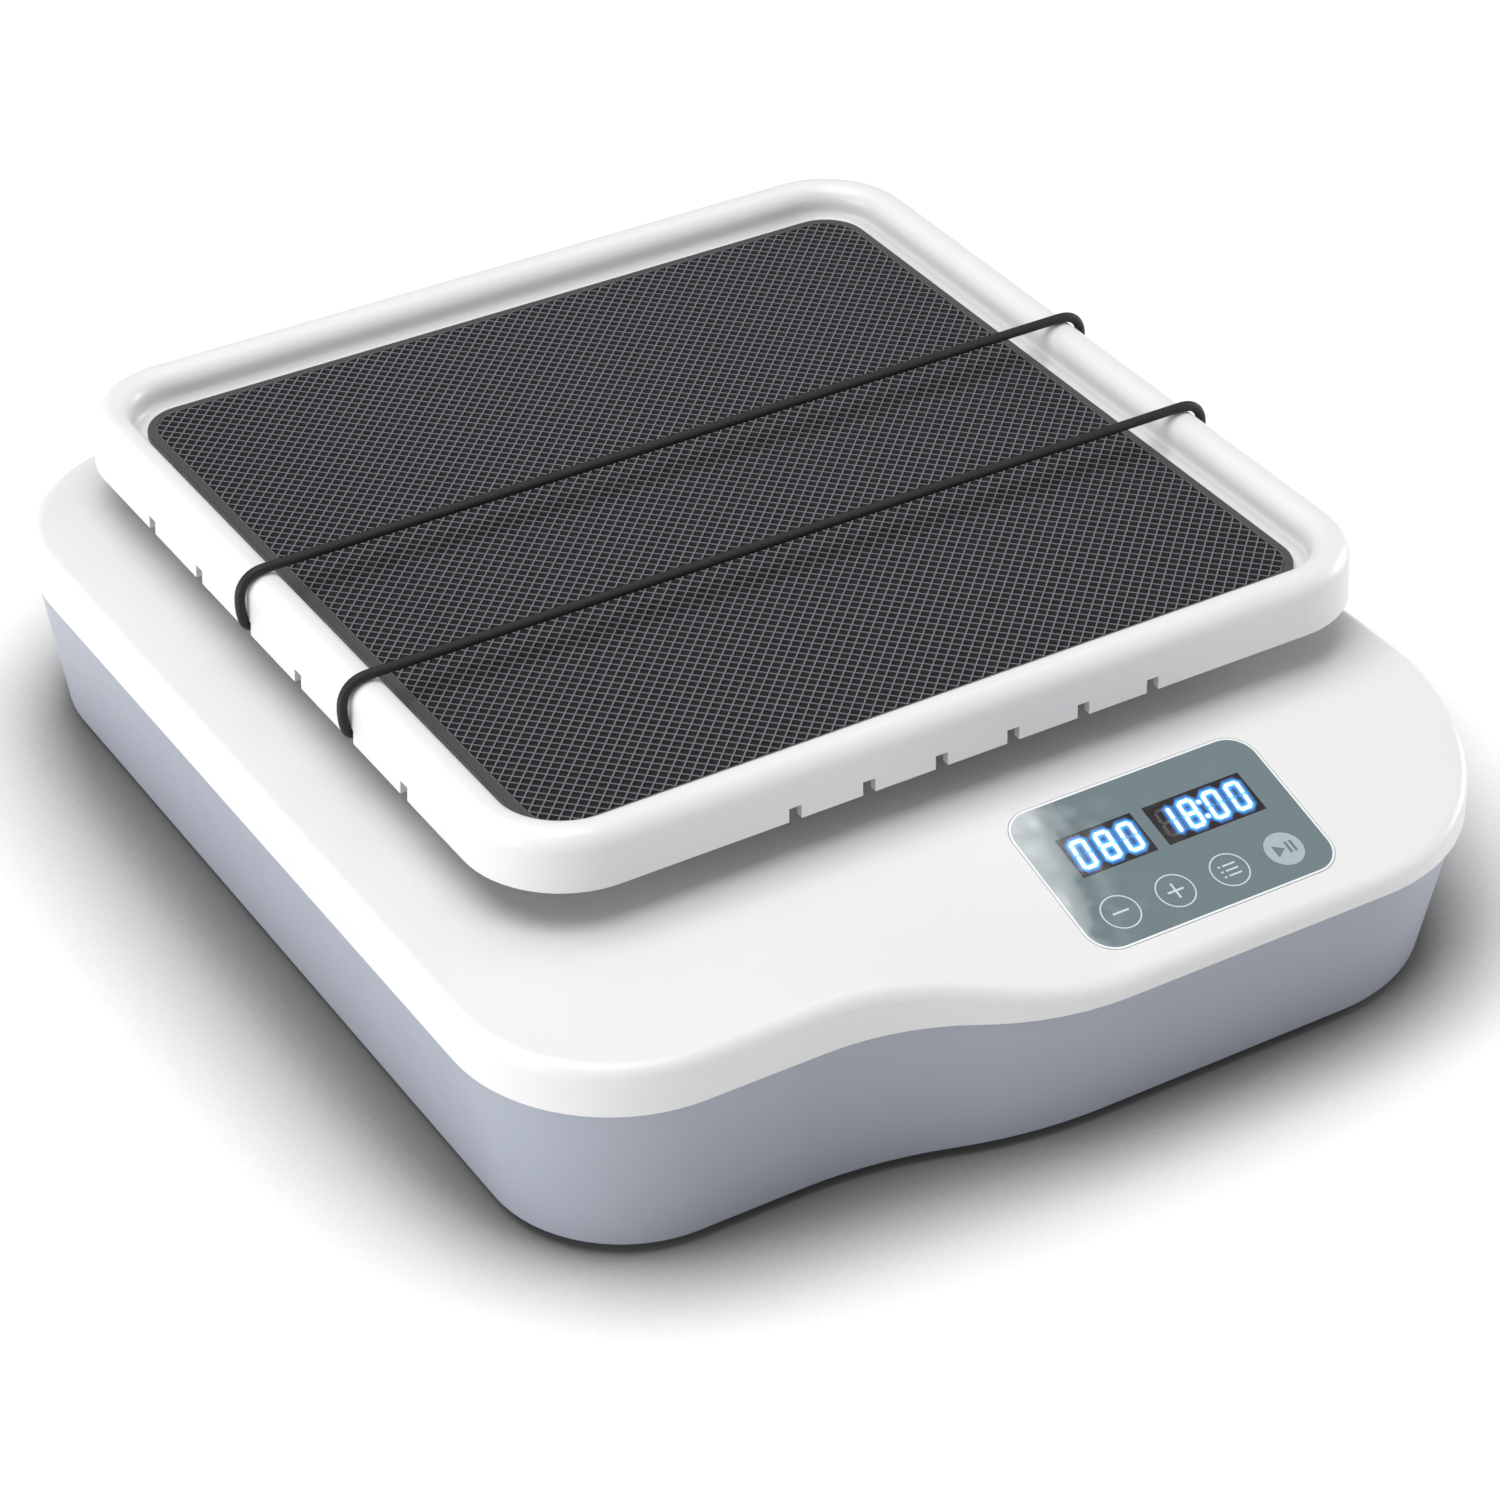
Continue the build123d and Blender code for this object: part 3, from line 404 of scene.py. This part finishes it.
cord_radius = 1.6 * mm
tray_x, tray_y = 12.5, 33.0
notch_pitch = 33.1
rear_run = tray_y + notch_pitch / 2
front_run = tray_y - notch_pitch * 3 / 2
over_z, under_z = 104.3, 86.2
outside_x, inside_x = 151.85, 145.6
rim_x = outside_x - 15.8
inner_bend = 5.0
leg = [
    (0.0, over_z, 1.0), (rim_x, over_z, 1.0), (outside_x, over_z, 0.75), (outside_x, under_z, 0.75),
    (inside_x, under_z, 0.75),
]
half_route = [(x, rear_run, z, weight) for x, z, weight in leg]
half_route += [
    (inside_x, rear_run - inner_bend, under_z, 1.0), (inside_x, front_run + inner_bend, under_z, 1.0),
]
half_route += [(x, front_run, z, weight) for x, z, weight in reversed(leg)]
route = half_route + [(-x, y, z, weight) for x, y, z, weight in reversed(half_route[1:-1])]
line = bpy.data.curves.new("cord_line", "CURVE")
line.dimensions = "3D"
line.resolution_u = 10
spline = line.splines.new("NURBS")
spline.points.add(len(route) - 1)
for point, (x, y, z, weight) in zip(spline.points, route):
    point.co = ((tray_x + x) * mm, y * mm, z * mm, weight)
spline.order_u = 3
spline.use_cyclic_u = True
line_object = bpy.data.objects.new("cord_line", line)
bpy.context.scene.collection.objects.link(line_object)
bpy.context.view_layer.update()
line_mesh = bpy.data.meshes.new_from_object(line_object)
path = [vertex.co.copy() for vertex in line_mesh.vertices]
bpy.data.objects.remove(line_object)

cord = bmesh.new()
cover = cord.loops.layers.uv.new("UVMap")
cord_sides = 14
count = len(path)
travelled = [0.0]
rings = []
for i in range(count):
    following = path[(i + 1) % count]
    travelled.append(travelled[-1] + (following - path[i]).length)
    heading = (following - path[i - 1]).normalized()
    reference = Vector((0.05, 1.0, 0.05)) if abs(heading.y) < 0.7 else Vector((0.0, 0.0, 1.0))
    side = heading.cross(reference).normalized()
    other = heading.cross(side)
    ring = []
    for k in range(cord_sides):
        turn = 2 * pi * k / cord_sides
        ring.append(cord.verts.new(path[i] + cord_radius * (side * cos(turn) + other * sin(turn))))
    rings.append(ring)
for i in range(count):
    first, second = rings[i], rings[(i + 1) % count]
    twist = min(range(cord_sides), key=lambda k: (second[k].co - first[0].co).length)
    for k in range(cord_sides):
        m = (k + 1) % cord_sides
        face = cord.faces.new((
            first[k], first[m], second[(m + twist) % cord_sides], second[(k + twist) % cord_sides],
        ))
        face.smooth = True
        near, far = travelled[i], travelled[i + 1]
        for loop, (u, v) in zip(face.loops, ((near, k), (near, k + 1), (far, k + 1), (far, k))):
            loop[cover].uv = (u, v / cord_sides)
elastic = piece("elastic_loop", cord, "tray", braid)
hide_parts("elastic_cord")

# Control panel: one sheet of tinted plastic with polished edges, glued into its recess on the
# nose, and printed with a fine pale border; it is laid out in millimetres from its middle
lens_tint = moulded(
    "panel_lens", (0.135, 0.178, 0.191), roughness=0.06, grain=900.0, depth=0.0003 * mm,
)
dress("panel_lens", lens_tint)
panel_slope = radians(15)
panel_low, panel_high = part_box("control_panel")
panel_face = Vector((0.0, -sin(panel_slope), cos(panel_slope)))
panel_thickness = 1.5
panel_middle = (panel_low + panel_high) / 2 + panel_face * panel_thickness / 2 * mm
panel_place = (
    Matrix.Translation(panel_middle) @ Matrix.Rotation(panel_slope, 4, "X") @ Matrix.Scale(mm, 4)
)
panel_width, panel_height = 86.7, 55.2
panel_corner = 9.35
panel_edge = 0.25
panel_edge_steps = ((0.08, 0.17), (0.17, 0.08))
print_level = 0.03


def panel_piece(name, mesh, finish):
    mesh.transform(panel_place)
    return piece(name, mesh, "base", finish)


lens = bmesh.new()
rounded_sheet(lens, panel_width, panel_height, panel_corner, steps=12, middle=(0, 0, -panel_thickness))
upper = thicken(lens, panel_thickness - panel_edge)
for inwards, upwards in panel_edge_steps:
    step_in(lens, upper, inwards, upwards)
lens_piece = panel_piece("panel_lens_plate", lens, lens_tint)
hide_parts("control_panel")

border_gap = 0.03
border_width = 0.72
border_print = moulded(
    "panel_border", (0.70, 0.73, 0.74), roughness=0.25, grain=900.0, depth=0.002 * mm,
)
border = bmesh.new()
rounded_sheet(
    border, panel_width - 2 * border_gap, panel_height - 2 * border_gap, panel_corner - border_gap,
    steps=12, middle=(0, 0, print_level),
)
inner = border.faces[:]
step_in(border, inner, inwards=border_width)
bmesh.ops.delete(border, geom=inner, context="FACES_ONLY")
panel_piece("panel_border", border, border_print)

# Windows: two near black fields printed on the lens over the speed and the timer display, which
# are black modules on the board behind it
dress("display", moulded("display", (0.01, 0.009, 0.009), roughness=0.15, grain=900.0, depth=0.002 * mm))
window_black = moulded(
    "window_glass", (0.017, 0.013, 0.015), roughness=0.08, grain=900.0, depth=0.002 * mm,
)
speed_window = (-18.6, 26.2)
timer_window = (15.8, 34.5)
window_middle = 6.6
window_height = 15.2
window_corner = 0.25
windows = bmesh.new()
for x, width in (speed_window, timer_window):
    middle = (x, window_middle, print_level)
    rounded_sheet(windows, width, window_height, window_corner, steps=3, middle=middle)
panel_piece("panel_windows", windows, window_black)

# Figures: leaning seven-segment figures of the speed and the timer; a lit bar is bluish white in
# a soft blue glow that fades outwards, and an unlit one is a little paler than its window
bar_ends = {
    "a": ((-1, 2), (1, 2)), "b": ((1, 0), (1, 2)), "c": ((1, -2), (1, 0)), "d": ((-1, -2), (1, -2)),
    "e": ((-1, -2), (-1, 0)), "f": ((-1, 0), (-1, 2)), "g": ((-1, 0), (1, 0)),
}
bars_of = {"0": "abcdef", "1": "bc", "8": "abcdefg"}
bar_half = 0.58
bar_gap = 0.1
figure_half_width = 2.1
figure_quarter_height = 2.41
figure_lean = 0.08
figure_middle = 6.5
speed_figures = [(-26.7, "0"), (-18.4, "8"), (-10.4, "0")]
timer_figures = [(3.1, "1"), (11.2, "8"), (19.8, "0"), (27.9, "0")]
colon_x = 15.5
colon_rise = 2.8
dot_radius = 0.7
bar_glow_widths = (0.0, 0.6, 1.8)
dot_glow_widths = (0.0, 0.4, 0.9)
glow_amounts = (1.0, 0.5, 0.0)
unlit_level, glow_level, dot_glow_level, lit_level = 0.045, 0.05, 0.07, 0.08
glow_layer_gap = 0.0004
glow_fall = 1.3
glow_power = 1.7

lit_bar = Finish("lit_bars", (0.8, 0.9, 1.0))
lit_bar.surface.inputs["Emission Color"].default_value = (0.86, 0.95, 1.0, 1.0)
lit_bar.surface.inputs["Emission Strength"].default_value = 1.3
unlit_bar = moulded("unlit_bars", (0.027, 0.028, 0.028), roughness=0.2, grain=900.0, depth=0.002 * mm)
blue_glow = Finish("halo", (0.0, 0.0, 0.0))
fade = blue_glow.nodes.new("ShaderNodeAttribute")
fade.attribute_name = "glow"
faded = blue_glow.math("POWER", fade.outputs["Fac"], glow_fall)
glow_strength = blue_glow.math("MULTIPLY", faded, glow_power)
glow = blue_glow.nodes.new("ShaderNodeEmission")
glow.inputs["Color"].default_value = (0.07, 0.36, 1.0, 1.0)
blue_glow.join(glow_strength, glow.inputs["Strength"])
clear = blue_glow.nodes.new("ShaderNodeBsdfTransparent")
glow_over_clear = blue_glow.nodes.new("ShaderNodeAddShader")
blue_glow.join(glow.outputs["Emission"], glow_over_clear.inputs[0])
blue_glow.join(clear.outputs["BSDF"], glow_over_clear.inputs[1])
blue_glow.join(glow_over_clear.outputs["Shader"], blue_glow.nodes["Material Output"].inputs["Surface"])


def bar_outline(x, bar, grow=0.0):
    """The bar's six corners, anticlockwise, and with grow those of a band round it."""
    (x0, y0), (x1, y1) = bar_ends[bar]
    start = Vector((x0 * figure_half_width, y0 * figure_quarter_height))
    end = Vector((x1 * figure_half_width, y1 * figure_quarter_height))
    along = (end - start).normalized()
    side = Vector((along.y, -along.x))
    tip, shoulder = bar_gap - grow, bar_gap + bar_half - grow * 0.4
    half = bar_half + grow
    points = [
        start + along * tip, start + along * shoulder + side * half, end - along * shoulder + side * half,
        end - along * tip, end - along * shoulder - side * half, start + along * shoulder - side * half,
    ]
    return [(x + p.x + figure_lean * p.y, figure_middle + p.y) for p in points]


def dot_outline(rise, grow=0.0, steps=16):
    """The corners of one dot of the colon, anticlockwise, and with grow those of a band round it."""
    middle = Vector((colon_x + figure_lean * rise, figure_middle + rise))
    reach = Vector((dot_radius + grow, 0.0))
    corners = [middle + Matrix.Rotation(2 * pi * k / steps, 2) @ reach for k in range(steps)]
    return [tuple(corner) for corner in corners]


def flat_face(mesh, outline, level):
    mesh.faces.new([mesh.verts.new((x, y, level)) for x, y in outline])


def glow_bands(mesh, layer, outlines, level):
    """Bands between the outlines, on whose points the glow's strength is kept."""
    rings = []
    for outline, amount in zip(outlines, glow_amounts):
        ring = [mesh.verts.new((x, y, level)) for x, y in outline]
        for vertex in ring:
            vertex[layer] = amount
        rings.append(ring)
    for inner, outer in zip(rings, rings[1:]):
        for i in range(len(outer)):
            mesh.faces.new((outer[i - 1], outer[i], inner[i], inner[i - 1]))


lit = bmesh.new()
unlit = bmesh.new()
halo = bmesh.new()
glow_layer = halo.verts.layers.float.new("glow")
lit_count = 0
for x, figure in speed_figures + timer_figures:
    for bar in "abcdefg":
        if bar in bars_of[figure]:
            flat_face(lit, bar_outline(x, bar), lit_level)
            outlines = [bar_outline(x, bar, grow) for grow in bar_glow_widths]
            glow_bands(halo, glow_layer, outlines, glow_level + glow_layer_gap * lit_count)
            lit_count += 1
        else:
            flat_face(unlit, bar_outline(x, bar), unlit_level)
for rise in (-colon_rise, colon_rise):
    flat_face(lit, dot_outline(rise), lit_level)
    outlines = [dot_outline(rise, grow) for grow in dot_glow_widths]
    glow_bands(halo, glow_layer, outlines, dot_glow_level)
panel_piece("display_figures", lit, lit_bar)
panel_piece("display_unlit_bars", unlit, unlit_bar)
panel_piece("display_halo", halo, blue_glow)

# Touch keys: signs printed in pale ink on the lens, a minus, a plus and a list in thin rings, and
# a start and pause sign in the lens's own colour on a filled disc
key_row = -15.9
minus_x, plus_x, list_x, start_x = -28.8, -9.7, 9.4, 28.8
key_radius = 6.15
ring_width = 0.45
sign_length, sign_width = 5.5, 0.7
plus_arm, plus_arm_rise = 2.5, 1.6
list_rise, list_height = 1.9, 0.6
list_line_x, list_line_width = 0.8, 4.4
list_dot_x, list_dot_width = -2.6, 0.8
arrow_left, arrow_right, arrow_half = -3.2, 0.2, 2.3
pause_bars_x, pause_width, pause_height = (1.5, 3.2), 0.9, 4.2
start_level = 0.06
pale_ink = moulded("pale_print", (0.48, 0.56, 0.58), roughness=0.3, grain=900.0, depth=0.002 * mm)
disc_ink = moulded("start_disc", (0.33, 0.39, 0.41), roughness=0.3, grain=900.0, depth=0.002 * mm)


def printed_bar(mesh, x, y, width, height, level, plane=Matrix()):
    place = plane @ Matrix.Translation((x, y, level)) @ Matrix.Diagonal((width, height, 1.0, 1.0))
    bmesh.ops.create_grid(mesh, x_segments=1, y_segments=1, size=0.5, matrix=place)


def printed_disc(mesh, x, y, radius, level, plane=Matrix(), steps=48):
    made = bmesh.ops.create_circle(
        mesh, cap_ends=True, radius=radius, segments=steps,
        matrix=plane @ Matrix.Translation((x, y, level)),
    )
    return list(made["verts"][0].link_faces)


def printed_ring(mesh, x, y, radius, width, level, plane=Matrix(), steps=48):
    disc = printed_disc(mesh, x, y, radius, level, plane, steps)
    step_in(mesh, disc, inwards=width)
    bmesh.ops.delete(mesh, geom=disc, context="FACES_ONLY")


prints = bmesh.new()
for x in (minus_x, plus_x, list_x):
    printed_ring(prints, x, key_row, key_radius, ring_width, print_level)
printed_bar(prints, minus_x, key_row, sign_length, sign_width, print_level)
printed_bar(prints, plus_x, key_row, sign_length, sign_width, print_level)
for y in (key_row - plus_arm_rise, key_row + plus_arm_rise):
    printed_bar(prints, plus_x, y, sign_width, plus_arm, print_level)
for y in (key_row - list_rise, key_row, key_row + list_rise):
    printed_bar(prints, list_x + list_line_x, y, list_line_width, list_height, print_level)
    printed_bar(prints, list_x + list_dot_x, y, list_dot_width, list_height, print_level)
panel_piece("panel_prints", prints, pale_ink)
disc = bmesh.new()
printed_disc(disc, start_x, key_row, key_radius, print_level)
panel_piece("start_disc", disc, disc_ink)
signs = bmesh.new()
arrow = [
    (start_x + arrow_left, key_row - arrow_half), (start_x + arrow_right, key_row),
    (start_x + arrow_left, key_row + arrow_half),
]
flat_face(signs, arrow, start_level)
for shift in pause_bars_x:
    printed_bar(signs, start_x + shift, key_row, pause_width, pause_height, start_level)
panel_piece("panel_signs", signs, lens_tint)

# Power switch marks: a stroke and a ring, printed in pale ink on the rocker's two faces, which
# lean away from each other and turn with the rocker, here in its off position
rocker_pivot = Vector((85.0, 186.5, 30.0))
rocker_turn = Matrix.Rotation(radians(8), 4, "Z")
face_lean = radians(10.15)
face_out = 3.9
mark_level = 0.04
mark_height = 3.4
stroke_place, stroke_width = 4.25, 0.7
ring_place, ring_line = 4.2, 0.55


def rocker_face(side):
    """The plane of one of the rocker's faces, in millimetres from its middle edge, facing out."""
    lean = Matrix.Translation((0.0, face_out, 0.0)) @ Matrix.Rotation(side * face_lean, 4, "Z")
    return (
        Matrix.Translation(rocker_pivot) @ rocker_turn @ lean @ Matrix.Rotation(radians(-90), 4, "X")
    )


marks = bmesh.new()
printed_bar(marks, stroke_place, 0.0, stroke_width, mark_height, mark_level, plane=rocker_face(1))
printed_ring(
    marks, -ring_place, 0.0, mark_height / 2, ring_line, mark_level, plane=rocker_face(-1), steps=32,
)
marks.transform(Matrix.Scale(mm, 4))
piece("rocker_marks", marks, "rocker", pale_ink)
